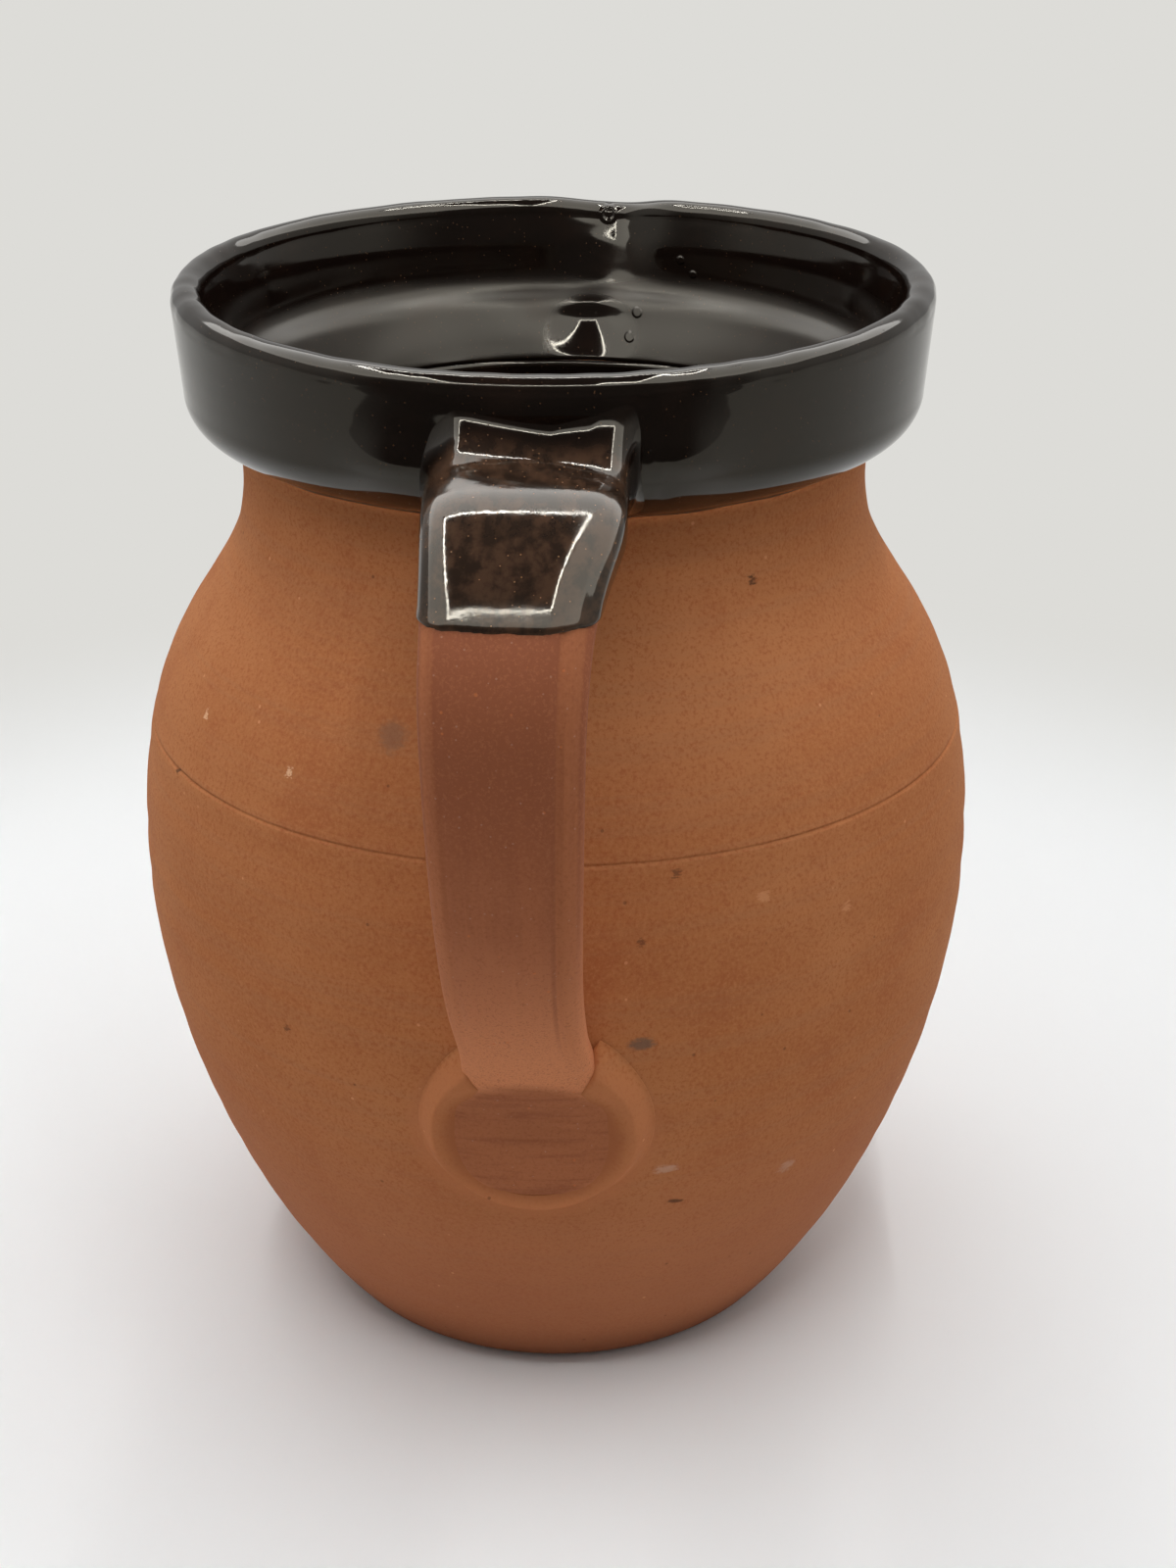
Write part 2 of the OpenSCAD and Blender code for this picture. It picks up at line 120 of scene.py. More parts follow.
def outerProfile():
    c, k = clay, collar
    lean = math.radians(c["baseLean"])
    foot = np.array([c["baseR"] + c["footH"] / 2, c["footH"]])
    lower = bezier(foot, foot + c["footPull"] * np.array([math.sin(lean), math.cos(lean)]),
                   [c["bellyR"], c["bellyZ"] - c["bellyPullDown"]], [c["bellyR"], c["bellyZ"]], 90)
    upper = bezier([c["bellyR"], c["bellyZ"]], [c["bellyR"], c["bellyZ"] + c["bellyPullUp"]],
                   [c["neckR"], c["neckZ"] - c["neckPull"]], [c["neckR"], c["neckZ"]], 110)
    neck = np.stack([np.full(6, c["neckR"]), np.linspace(c["neckZ"], collarZ, 7)[1:]], 1)
    body = np.concatenate([lower, upper[1:], neck])
    under = math.radians(k["underLean"])
    a = np.linspace(0, under, 9)
    hollow = np.stack([c["neckR"] + k["neckRound"] * (1 - np.cos(a)), collarZ + k["neckRound"] * np.sin(a)], 1)
    run = k["radius"] - c["neckR"] - (k["neckRound"] + k["edgeRound"]) * (1 - math.cos(under))
    edgeZ = collarZ + k["neckRound"] * math.sin(under) + run / math.tan(under)
    a = np.linspace(under, 0, 13)
    edge = np.stack([k["radius"] - k["edgeRound"] * (1 - np.cos(a)),
                     edgeZ + k["edgeRound"] * (math.sin(under) - np.sin(a))], 1)
    lipFoot = [[k["radius"] + k["flare"], collarZ + k["height"] - k["lipRound"]]]
    band = np.concatenate([hollow, edge, evenly(np.concatenate([edge[-1:], lipFoot]), 0.8)[1:]])
    return body, band


bodyOuter, bandOuter = outerProfile()
outerLine = np.concatenate([bodyOuter, bandOuter[1:]])
rimZ = collarZ + collar["height"]
lipFootZ = rimZ - collar["lipRound"]
bandZ = bandOuter[bandOuter[:, 0] < collar["radius"] + 1e-6, 1].max()  # where the upright band starts


def outerR(z):
    return np.interp(z, outerLine[:, 1], outerLine[:, 0])


def sagAt(turn):
    # how much lower the rim stands at a turn in radians
    return collar["sag"] * ((1 - np.sin(turn)) / 2) ** collar["sagPower"]


def wallR(z):
    # the outer face over the handle, where the band is lowered with the rim
    k = 1 - collar["sag"] / (rimZ - bandZ)
    return outerR(np.where(z < bandZ, z, bandZ + (z - bandZ) / k))


def lipTop():
    a = np.linspace(0, math.pi, 27)[1:-1]
    half = collar["lip"] / 2
    wide = np.sign(np.cos(a)) * np.abs(np.cos(a)) ** collar["lipPower"]
    return np.stack([collar["radius"] + collar["flare"] - half * (1 - wide),
                     lipFootZ + collar["lipRound"] * np.sin(a) ** collar["lipPower"]], 1)


def collarInner():
    # the hand left a gentle slope from the neck up to the lip
    way = np.array([(r, z) for z, r in collar["inner"]], float)
    top = [[collar["radius"] + collar["flare"] - collar["lip"], lipFootZ]]
    line = evenly(np.concatenate([way, top]), 0.35)
    for _ in range(6):
        line[1:-1] = (line[:-2] + 2 * line[1:-1] + line[2:]) / 4
    return evenly(line, 0.7)


def bodyInner():
    line = movedLeft(evenly(bodyOuter, 1.2), clay["wall"])
    keep = (line[:, 1] > clay["floor"] + clay["floorCurve"]) & (line[:, 1] < collarZ - 1)
    wall = np.concatenate([line[keep], [[clay["neckR"] - clay["wall"], collarZ]]])
    way = wall[1] - wall[0]
    corner = wall[0] - way * (wall[0][1] - clay["floor"]) / way[1]
    flat = np.array([clay["floorFlat"], clay["floor"]], float)
    turn = bezier(flat, flat + 0.7 * (corner - flat), wall[0] + 0.7 * (corner - wall[0]), wall[0], 24)
    floor = np.stack([np.linspace(0.5, flat[0], 14), np.full(14, flat[1])], 1)
    return np.concatenate([floor[:-1], turn, wall[1:]])


def makePiece(name, grid, nodes, wrapRows=False, flip=False, capStart=False, capEnd=False, uv=None):
    # a skin over a grid of points [row, column], its columns closed into rings
    rows, cols = grid.shape[:2]
    points = grid.reshape(-1, 3) / 1000
    i, j = np.meshgrid(np.arange(rows if wrapRows else rows - 1), np.arange(cols), indexing="ij")
    ni, nj = (i + 1) % rows, (j + 1) % cols
    quads = np.stack([i * cols + j, i * cols + nj, ni * cols + nj, ni * cols + j], -1).reshape(-1, 4)
    if flip:
        quads = quads[:, ::-1]
    faces = quads.tolist()
    extra = []
    for wanted, row in ((capStart, 0), (capEnd, rows - 1)):
        if wanted:
            ring = np.arange(row * cols, row * cols + cols)
            middle = len(points) + len(extra)
            extra.append(points[ring].mean(0))
            turned = (row == 0) != flip
            for a, b in zip(ring, np.roll(ring, -1)):
                faces.append([int(b), int(a), middle] if turned else [int(a), int(b), middle])
    if extra:
        points = np.concatenate([points, extra])
    mesh = bpy.data.meshes.new(name)
    mesh.from_pydata(points.tolist(), [], faces)
    mesh.polygons.foreach_set("use_smooth", np.ones(len(mesh.polygons), bool))
    if uv is not None:
        flatUv = np.concatenate([uv.reshape(-1, 2), np.zeros((len(extra), 2))]) if extra else uv.reshape(-1, 2)
        index = np.empty(len(mesh.loops), np.int32)
        mesh.loops.foreach_get("vertex_index", index)
        layer = mesh.uv_layers.new(name="along")
        layer.data.foreach_set("uv", flatUv[index].ravel())
    mesh.update()
    piece = bpy.data.objects.new(name, mesh)
    bpy.context.scene.collection.objects.link(piece)
    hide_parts(*nodes)
    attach(piece, "root")
    return piece


def revolved(line, turns):
    a = np.linspace(0, 2 * math.pi, turns, endpoint=False)
    r, z = line[:, 0][:, None], line[:, 1][:, None]
    return a, np.stack([r * np.cos(a), r * np.sin(a), z + 0 * a], -1)


def pushOut(grid, amount):
    # moves points away from the axis
    r = np.linalg.norm(grid[..., :2], axis=-1, keepdims=True)
    grid[..., :2] *= 1 + amount[..., None] / np.maximum(r, 1)
    return grid


def pour(grid):
    # draws out the pouring lip and lowers the rim over the handle
    k = collar
    turn = np.degrees(np.arctan2(grid[..., 1], grid[..., 0]))
    share = np.exp(-((turn - k["pourTurn"]) / k["pourSpread"]) ** 2)
    up = np.clip((grid[..., 2] - rimZ + k["pourDepth"]) / k["pourDepth"], 0, 1)
    inside = np.linalg.norm(grid[..., :2], axis=-1) < outerR(grid[..., 2]) - 2.5
    thumb = k["thumb"] * dome(turn, grid[..., 2], k["thumbTurn"], k["thumbZ"], k["thumbWidth"], k["thumbHeight"]) * inside
    sag = sagAt(np.radians(turn)) * np.clip((grid[..., 2] - bandZ) / (rimZ - bandZ), 0, 1)
    grid = pushOut(grid, k["pourPull"] * share * smoothstep(up) ** 0.8 + thumb)
    grid[..., 2] -= k["pourDip"] * share * up * up + sag
    return grid


# the thrown body
def makeBody():
    lineRows = clay["lineZ"] + np.linspace(-1.2, 1.2, 17)
    heights = np.concatenate([bodyOuter[:, 1], lineRows])
    heights = np.unique(np.round(heights, 4))
    outer = np.stack([outerR(heights), heights], 1)
    inner = bodyInner()
    foot = np.array([[1, 0.25], [12, 0.2], [24, 0.12], [36, 0.05], [42, 0.0], [43.8, 0.0], [44.8, 0.08]])
    edge = np.array([[45.5, 0.3], [46.2, 0.7], [46.7, 1.12]])
    # rows close to the corners keep the shading of the hidden joint with the collar off the wall
    near, below = np.array([[0.04, 0.0]]), np.array([[0.0, 0.03]])
    outer = np.concatenate([outer[:-1], outer[-1:] - below, outer[-1:]])
    inner = np.concatenate([inner[:-1], inner[-1:] - below, inner[-1:]])
    line = np.concatenate([foot, edge, outer, outer[-1:] - near, inner[-1:] + near, inner[::-1]])
    turn, grid = revolved(line, clay["turns"])
    z = grid[..., 2]
    isOuter = np.zeros(len(line), bool)
    isOuter[len(foot):len(foot) + len(edge) + len(outer)] = True
    fall = smoothstep(z / 12) * smoothstep((collarZ - z) / 6) * isOuter[:, None]
    rings = waves(line[:, 1] / collarZ * 2 * math.pi, 3, 6, 26, 0.5)[:, None]
    drift = waves(turn, 5, 2, 5)[None, :] * 0.5
    amount = clay["waver"] * fall * (0.55 * rings + drift)
    cut = np.exp(-((z - clay["lineZ"] - 0.12 * waves(turn, 9, 1, 6)[None, :]) / (clay["lineWidth"] * 0.3)) ** 2)
    amount -= clay["lineDepth"] * cut * isOuter[:, None] * (0.8 + 0.2 * waves(turn, 11, 3, 17)[None, :])
    grid = pushOut(grid, np.clip(amount, -0.8, 0.12) - 0.12 * fall)
    return makePiece("thrownBody", grid, ["body"], capStart=True, capEnd=True)


# the collar's clay under the glaze
def makeCollar():
    outer = evenly(bandOuter, 0.7)
    near, above = np.array([[0.04, 0.0]]), np.array([[0.0, 0.03]])
    inner = collarInner()[::-1]
    line = np.concatenate([outer[:1] - near, outer[:1], outer[:1] + above, outer[1:], lipTop(), inner[:-1],
                           inner[-1:] + above, inner[-1:], inner[-1:] + near])
    turn, grid = revolved(line, collar["turns"])
    grid = pour(grid)
    return makePiece("collarClay", grid, ["rim_collar"], wrapRows=True)


# the strap: a line of stations u counted as in the CAD source, with the root from 0 to 5, the crest
# to 17, the back to 31 and the pressed end to 40
rootShares = np.array([0, 0.08, 0.2, 0.36, 0.6, 1])
crestFrom, backFrom, pressFrom, pressTo = 5, 17, 31, 40
pressTop = strap["pressZ"] + strap["pressHeight"] / 2


def spineTable():
    s = strap
    root = np.array([collar["radius"], s["rootZ"]])
    foot = root + [luting["run"], 0]
    far = np.array([s["reach"], s["midZ"]])
    landing = np.array([outerR(pressTop), pressTop])
    lean = math.radians(s["landingLean"])
    crest = bezier(foot, foot + [s["crestRun"], s["crestLift"]], far + [0, s["crestRise"]], far, 120)
    back = bezier(far, far - [0, s["backDrop"]],
                  landing + s["landingPull"] * np.array([math.sin(lean), math.cos(lean)]), landing, 140)
    v = np.sin(np.radians(90 * np.linspace(0, 1, 91)))
    z = pressTop - s["pressHeight"] * v
    press = np.stack([outerR(z), z], 1)
    u = np.concatenate([np.interp(np.linspace(0, 1, 21), rootShares, np.arange(6)),
                        crestFrom + np.linspace(0, 12, 121)[1:], backFrom + np.linspace(0, 14, 141)[1:],
                        pressFrom + np.linspace(0, 9, 91)[1:]])
    points = np.concatenate([root + np.stack([luting["run"] * np.linspace(0, 1, 21), np.zeros(21)], 1),
                             crest[1:], back[1:], press[1:]])
    return u, points


spineU, spinePoints = spineTable()


def spineAt(u):
    return np.stack([np.interp(u, spineU, spinePoints[:, k]) for k in (0, 1)], -1)


def spineWay(u):
    way = spineAt(u + 0.7) - spineAt(u - 0.7)
    return way / np.linalg.norm(way, axis=-1, keepdims=True)


def pressShare(u):
    return np.sin(np.radians(90 * np.clip((u - pressFrom) / 9, 0, 1)))


def strapSize(u):
    # half width, half thickness and the depth of the thumb's hollow at station u
    s = strap
    v = pressShare(u)
    k = np.clip(u / pressFrom, 0, 1)
    wide = (s["landingWidth"] + (s["rootWidth"] - s["landingWidth"]) * (1 - k) ** s["taper"]) / 2
    thick = (s["rootThick"] + (s["landingThick"] - s["rootThick"]) * k) / 2
    wide = wide + s["spread"] * smoothstep((u - 29.2) / 2)
    disc = s["pressWidth"] / 2 * np.sqrt(np.maximum(1 - (2 * v - 1) ** 2, 0))
    blend = 1.2  # rounds the corners where the strap widens into the pressed end
    least = np.where(v < 0.5, s["landingWidth"] / 2 + s["spread"], 0)
    wider = np.where(v < 0.5, (disc ** 8 + least ** 8) ** (1 / 8), disc)
    flat = thick + (s["pressThick"] - thick) * smoothstep(v / 0.38)
    flat = flat * (1 - np.clip(2 * v - 1, 0, 1) ** 6)
    pressed = u > pressFrom
    hollow = s["pressDish"] * smoothstep(v / 0.3) * (1 - (2 * v - 1) ** 2)
    return np.where(pressed, wider, wide), np.where(pressed, flat, thick), np.where(pressed, hollow, 0)


def strapPoint(u, x, n, stand):
    # x across the strap and n out of its face, no nearer than stand to the wall
    s = strap
    middle, way = spineAt(u), spineWay(u)
    r = middle[..., 0] - way[..., 1] * n
    z = middle[..., 1] + way[..., 0] * n
    rootK = np.where(u < crestFrom, np.interp(u, np.arange(6), rootShares), 1)
    wrapK = np.clip((u - pressFrom + 5) / 5, 0, 1)
    bow = np.where(u < pressFrom, s["bow"] * np.sin(np.pi * np.clip(u / pressFrom, 0, 1)), 0)
    across = x - bow - s["lowBow"] * np.exp(-((u - 27) / 5) ** 2)
    turn = across / middle[..., 0]
    wall = wallR(z) + stand
    straight = np.sqrt(np.maximum(wall ** 2 - across ** 2, 1)) * (1 - rootK) + r * rootK
    px = across * (1 - wrapK) + r * np.sin(turn) * wrapK
    py = -straight * (1 - wrapK) - r * np.cos(turn) * wrapK
    away = np.hypot(px, py)
    grow = np.maximum(away, wall) / away
    return np.stack([px * grow, py * grow, z], -1)


def sectionShape(count):
    # points evenly spaced round the strap's rounded section, each as (across, out)
    a = np.linspace(0, 2 * math.pi, 4001)
    p = 2 / strap["power"]
    x = np.sign(np.cos(a)) * np.abs(np.cos(a)) ** p
    y = np.sign(np.sin(a)) * np.abs(np.sin(a)) ** p
    run = np.concatenate([[0], np.cumsum(np.hypot(np.diff(x) * 2.3, np.diff(y)))])
    at = np.linspace(0, run[-1], count, endpoint=False)
    return np.interp(at, run, x), np.interp(at, run, y)


across, outward = sectionShape(strap["section"])


def pulledMarks(u, x, out):
    # low ridges that the potter's hand left along the strap, in mm out of its face
    lengthwise = waves(x * 2.6 + 0.6, 21, 2, 9, 0.4) * 0.06 + 0.22 * np.exp(-((np.abs(x) - 0.8) / 0.07) ** 2)
    groove = -0.4 * np.exp(-((x - 0.67) / 0.045) ** 2) - 0.16 * np.exp(-((x + 0.74) / 0.05) ** 2)
    along = 0.12 * waves(u / 40 * 2 * math.pi, 23, 2, 9)
    face = smoothstep((out - 0.1) / 0.6) + 0.5 * smoothstep((-out - 0.2) / 0.6)
    onStrap = smoothstep((u - 6) / 4) * smoothstep((30 - u) / 5)
    return face * onStrap * (lengthwise + groove + along)


def strapRing(u, side=0.0, top=0.0, under=0.0, stand=None, marks=True):
    # rows of rings at stations u; side, top and under may be arrays that match
    s = strap
    stand = s["gap"] if stand is None else stand
    wide, thick, hollow = strapSize(u)
    up = outward > 0
    x = across * (wide + side)
    x = x + s["shoulder"] * np.exp(-((u - s["shoulderAt"]) / 3.2) ** 2) * np.clip(across, 0, 1) ** 2
    x = x + s["waist"] * np.exp(-((u - 11) / 3.5) ** 2) * np.clip(-across, 0, 1) ** 2
    # square on the right over the root, rounder on the right of the crest
    square = 0.5 * np.exp(-(u / 7) ** 2) * smoothstep(across / 0.3) * up
    n = np.sign(outward) * np.abs(outward) ** (1 - square) * (thick + np.where(up, top, under))
    n = n - np.where(up, hollow * (1 - across ** 2), 0)
    n = n - s["roundRight"] * smoothstep((across - 0.3) / 0.7) ** 2 * np.exp(-((u - 14) / 5) ** 2) * up * np.abs(outward)
    if marks:
        n = n + np.where(up, 1, -1) * pulledMarks(u, np.broadcast_to(across, x.shape), outward * np.where(up, 1, 1))
    return strapPoint(u + 0 * x, x, n, stand)


def flareAt(k):
    return luting["edge"] + luting["flare"] * (1 - np.sqrt(np.clip(1 - (1 - k) ** 2, 0, 1)))


spineRun = np.concatenate([[0], np.cumsum(np.linalg.norm(np.diff(spinePoints, axis=0), axis=1))])


def filletAt(u):
    # how far the smoothed clay stands over the top of the strap, a hollow quarter round that leans to the left
    g = luting
    share = np.interp(u, np.arange(6), rootShares)
    away = np.where(u < crestFrom, g["run"] * share ** 2, np.interp(u, spineU, spineRun))
    places, sizes, raised = zip(*g["fillets"])
    size = np.interp(across, places, sizes)
    inWall = 0.06 * (size - 4)
    hollow = size - np.sqrt(size ** 2 - np.clip(size - inWall - away, 0, size) ** 2)
    return hollow + np.interp(across, places, raised) * (1 - smoothstep((away - 4) / 13))


def lutingGrow(u):
    k = np.interp(u, np.arange(6), rootShares)
    grow = np.where(u <= crestFrom, flareAt(k), 0) * smoothstep((crestFrom + 0.001 - u) / 0.3 + 1)
    share = (outward + 1) / 2
    left = luting["leftLow"] + (luting["leftHigh"] - luting["leftLow"]) * share
    right = luting["rightLow"] + (luting["rightHigh"] - luting["rightLow"]) * share
    side = np.where(across > 0, right, left)
    return grow * side, filletAt(u) + 0 * side, grow * luting["under"] * np.ones_like(side)


def along(grid):
    # distances in mm round and along a grid of rings, for the material
    v = np.concatenate([[0], np.cumsum(np.linalg.norm(np.diff(grid[:, 0], axis=0), axis=1))])
    u = np.linspace(0, 68, grid.shape[1], endpoint=False)
    return np.stack([u + 0 * v[:, None], v[:, None] + 0 * u], -1)


def strapSkin():
    u = np.concatenate([np.interp(np.linspace(0, 1, 10), rootShares, np.arange(6)),
                        np.linspace(5, 17, 60)[1:], np.linspace(17, 31, 120)[1:],
                        np.linspace(31, 36, 60)[1:], np.linspace(36, 39.75, 50)[1:]])[:, None]
    grid = strapRing(u, top=np.where(u > crestFrom, filletAt(u), 0))
    # rounds the hollow where the face turns onto the pressed end
    near = smoothstep((u - 28.4) / 1.2) * smoothstep((34 - u) / 1.6) * smoothstep(outward / 0.3)
    for _ in range(70):
        grid[1:-1] += near[1:-1, :, None] * ((grid[:-2] + grid[2:]) / 2 - grid[1:-1]) * 0.6
    return u, grid


def makeStrap():
    u, grid = strapSkin()
    # the crease and the low ridge that the thumb left across the top of the pressed end
    x = across * strapSize(u)[0]
    ridgeZ = strap["pressZ"] + 10.2 - 0.2 * x
    creased = np.exp(-((x + 3.5) / 4.5) ** 2) + np.exp(-((x - 9) / 2.5) ** 2)
    height = np.exp(-((grid[..., 2] - ridgeZ - 1) / 1.8) ** 2) * 0.08 - np.exp(-((grid[..., 2] - ridgeZ) / 0.4) ** 2) * 0.12 * creased
    height = height * smoothstep((outward - 0.2) / 0.4) * (u > 31)
    drag = np.zeros_like(height)
    for k in range(26):
        dice = np.random.default_rng(40 + k)
        z0, x0 = strap["pressZ"] + dice.uniform(-13, 8), dice.uniform(-10, 10)
        length, deep = dice.uniform(1.5, 5), dice.uniform(-0.12, 0.1)
        drag += deep * np.exp(-((grid[..., 2] - z0 + 0.12 * (x - x0)) / 0.45) ** 2 - ((x - x0) / length) ** 2)
    grid = pushOut(grid, height + drag * (u > 31.5) * (outward > 0))
    uv = along(grid)
    return makePiece("pulledStrap", grid, ["handle"], flip=False, capStart=True, capEnd=True, uv=uv)


def makeUpperLuting():
    k = np.linspace(0, 1, 26) ** 1.5
    u = np.interp(k, rootShares, np.arange(6))[:, None]
    side, top, under = lutingGrow(u)
    outer = strapRing(u, side, top, under, marks=False)
    inner = strapRing(u[::-1], marks=False)
    return makePiece("smoothedRoot", np.concatenate([outer, inner]), ["upper_luting"], wrapRows=True)


def bellyPoint(x, z, h):
    way = np.stack([outerR(z + 1) - outerR(z - 1), 2 + 0 * z], -1)
    way /= np.linalg.norm(way, axis=-1, keepdims=True)
    r = outerR(z) + way[..., 1] * h
    turn = x / outerR(z)
    return np.stack([r * np.sin(turn), -r * np.cos(turn), z - way[..., 0] * h], -1)


def makeLowerLuting():
    s, g = strap, luting
    a = np.radians(np.linspace(-180 - g["ringOpen"], g["ringOpen"], 200))[:, None]
    halfW, halfH = s["pressWidth"] / 2 + 0.8, s["pressHeight"] / 2 + 0.8
    onRight = smoothstep((np.cos(a) + 0.35) / 1.0)
    low = smoothstep((-np.sin(a) - 0.3) / 0.6)
    ends = smoothstep((np.sin(a) - 0.4) / 0.4)
    width = g["ringLeft"] + (g["ringRight"] - g["ringLeft"]) * onRight
    width = (width + (g["ringLow"] - width) * low) * (1 + 0.05 * waves(a, 31, 2, 6))
    t = np.linspace(-0.95, 1, 48)[None, :]  # share of the way from the pressed end outward
    x = (halfW + width * t) * np.cos(a)
    z = s["pressZ"] + 1.2 * np.clip(t + 0.3, 0, 1) + (halfH + width * t) * np.sin(a)
    z = z + g["ringReach"] * smoothstep((np.sin(a) - 0.45) / 0.42)
    crest = g["ringTop"] - 0.8 * low + g["ringEnds"] * ends + 0.1 * waves(a, 33, 2, 9)
    # beside the strap the ring is filled up to the strap's face
    u, skin = strapSkin()
    column = skin[u[:, 0] > 29, np.argmax(outward - np.abs(across))][::-1]
    face = np.interp(z, column[:, 2], np.hypot(column[:, 0], column[:, 1]) - outerR(column[:, 2])) + 0.1
    beside = smoothstep((np.sin(a) - 0.3) / 0.4)
    level = crest - np.maximum(crest - face, 0) * beside * (1 - smoothstep((t + 0.3) / 0.5))
    rise = 1.1 + (level - 1.1) * np.clip((t + 0.95) / 1.2, 0, 1) ** (1.7 - 1.5 * beside)
    fall = 1 - smoothstep((t - 0.12) / 0.88)
    tip = smoothstep((math.radians(g["ringOpen"]) - np.abs(a + math.pi / 2) + math.pi / 2) / 0.07)
    h = rise * fall * (0.25 + 0.75 * tip) + g["ringEdge"]
    topSide = bellyPoint(x, z, h)
    lowSide = bellyPoint(x[:, ::-1], z[:, ::-1], 0 * h + 0.02)
    grid = np.concatenate([topSide, lowSide], axis=1)
    return makePiece("smoothedRing", grid, ["lower_luting"], flip=True, capStart=True, capEnd=True)


def makeLining():
    line = bodyInner()
    skin = movedLeft(line, glazing["thick"])
    skin[0, 0], skin[:3, 1] = 0.5, clay["floor"] + glazing["thick"]
    skin[-1] = [clay["neckR"] - clay["wall"] - glazing["thick"], collarZ]
    turn, outer = revolved(line, 240)
    turn, inner = revolved(skin[::-1], 240)
    z = inner[..., 2]
    ripple = 0.1 * waves(z / 165 * 2 * math.pi, 51, 8, 22, 0.4) * smoothstep((160 - z) / 12) * smoothstep((z - 20) / 12)
    inner = pushOut(inner, -np.abs(ripple))
    return makePiece("liningGlaze", np.concatenate([outer, inner]), ["lining_glaze"], capStart=True, capEnd=True)


def smear(turn, z):
    # how far the clay smoothed over the band round the root of the strap stands out
    x = collar["radius"] * np.cos(turn)
    z = z - sagAt(turn) * np.clip((z - bandZ) / (rimZ - bandZ), 0, 1)
    body = 1.9 * dome(x, z, -21.5, 183, 7.5, 5.5) + 2.2 * dome(x, z, 22.5, 184, 7.5, 6.5) + 0.7 * dome(x, z, 0, 191.5, 16, 3)
    ridge = 0.3 * np.exp(-((x - 16.6 - 0.12 * (190 - z)) / 0.6) ** 2) * smoothstep((z - 175) / 4) * smoothstep((194 - z) / 4)
    groove = -0.3 * np.exp(-((x - 19.2 - 0.1 * (190 - z)) / 0.9) ** 2) * smoothstep((z - 176) / 4) * smoothstep((193 - z) / 4)
    ripple = 0.05 * waves(z / 30 * 2 * math.pi + x * 0.05, 67, 2, 5) * dome(x, z, 0, 185, 28, 7)
    return (body + ridge + groove + ripple) * (np.sin(turn) < 0)


def makeCollarGlaze():
    g = glazing
    edgeZ = collarZ + g["underDip"]
    outside = evenly(bandOuter, 0.35)
    outside = outside[outside[:, 1] > edgeZ]
    clayLine = np.concatenate([outside, lipTop(), collarInner()[::-1]])
    skinLine = movedLeft(clayLine, -1.0) - clayLine
    turn = np.linspace(0, 2 * math.pi, collar["turns"], endpoint=False)
    # the dip line wavers, so the outside rows slide up and down on the clay
    shift = g["waver"] * waves(turn, 61, 2, 14, 0.7)[None, :] * 0.5
    z = np.broadcast_to(clayLine[:, 1][:, None], (len(clayLine), len(turn))).copy()
    isOutside = np.arange(len(clayLine)) < len(outside)
    slide = np.clip(1 - (z - edgeZ) / 14, 0, 1) * isOutside[:, None]
    z = z + shift * slide
    r = np.where(isOutside[:, None], outerR(z), clayLine[:, 0][:, None])
    run = np.concatenate([[0], np.cumsum(np.linalg.norm(np.diff(clayLine, axis=0), axis=1))])[:, None]
    rise = np.sqrt(np.clip(run / 0.5, 0, 1) * (2 - np.clip(run / 0.5, 0, 1)))
    bead = g["bead"] * np.exp(-((run - 1.1) / g["beadWidth"]) ** 2) * (1 + 0.4 * waves(turn, 63, 5, 30, 0.5)[None, :])
    lines = waves(clayLine[:, 1] * 0.16, 65, 3, 12, 0.4)[:, None] * 0.003 * (run > 4)
    inShelf = smoothstep((z - 171) / 3) * smoothstep((190 - z) / 6) * (1 - isOutside[:, None])
    blotch = 0.05 * np.cos((z - 172) * 0.42 + 2.2 * waves(turn, 83, 2, 7)[None, :]) * inShelf
    onLip = smoothstep((clayLine[:, 1] - lipFootZ + 1.5) / 1.5)[:, None]
    uneven = (0.045 * np.clip(waves(turn, 85, 9, 52, 0.2), -1.4, 1.4)[None, :] - 0.07) * onLip
    thick = (g["thick"] + lines) * rise + bead * rise + blotch + uneven + smear(turn[None, :], z) * isOutside[:, None]
    front = np.stack([(r + skinLine[:, 0][:, None] * thick) * np.cos(turn),
                      (r + skinLine[:, 0][:, None] * thick) * np.sin(turn),
                      z + skinLine[:, 1][:, None] * thick], -1)
    back = np.stack([r * np.cos(turn), r * np.sin(turn), z], -1)[::-1]
    grid = pour(np.concatenate([front, back]))
    return makePiece("collarGlaze", grid, ["collar_glaze"], wrapRows=True)


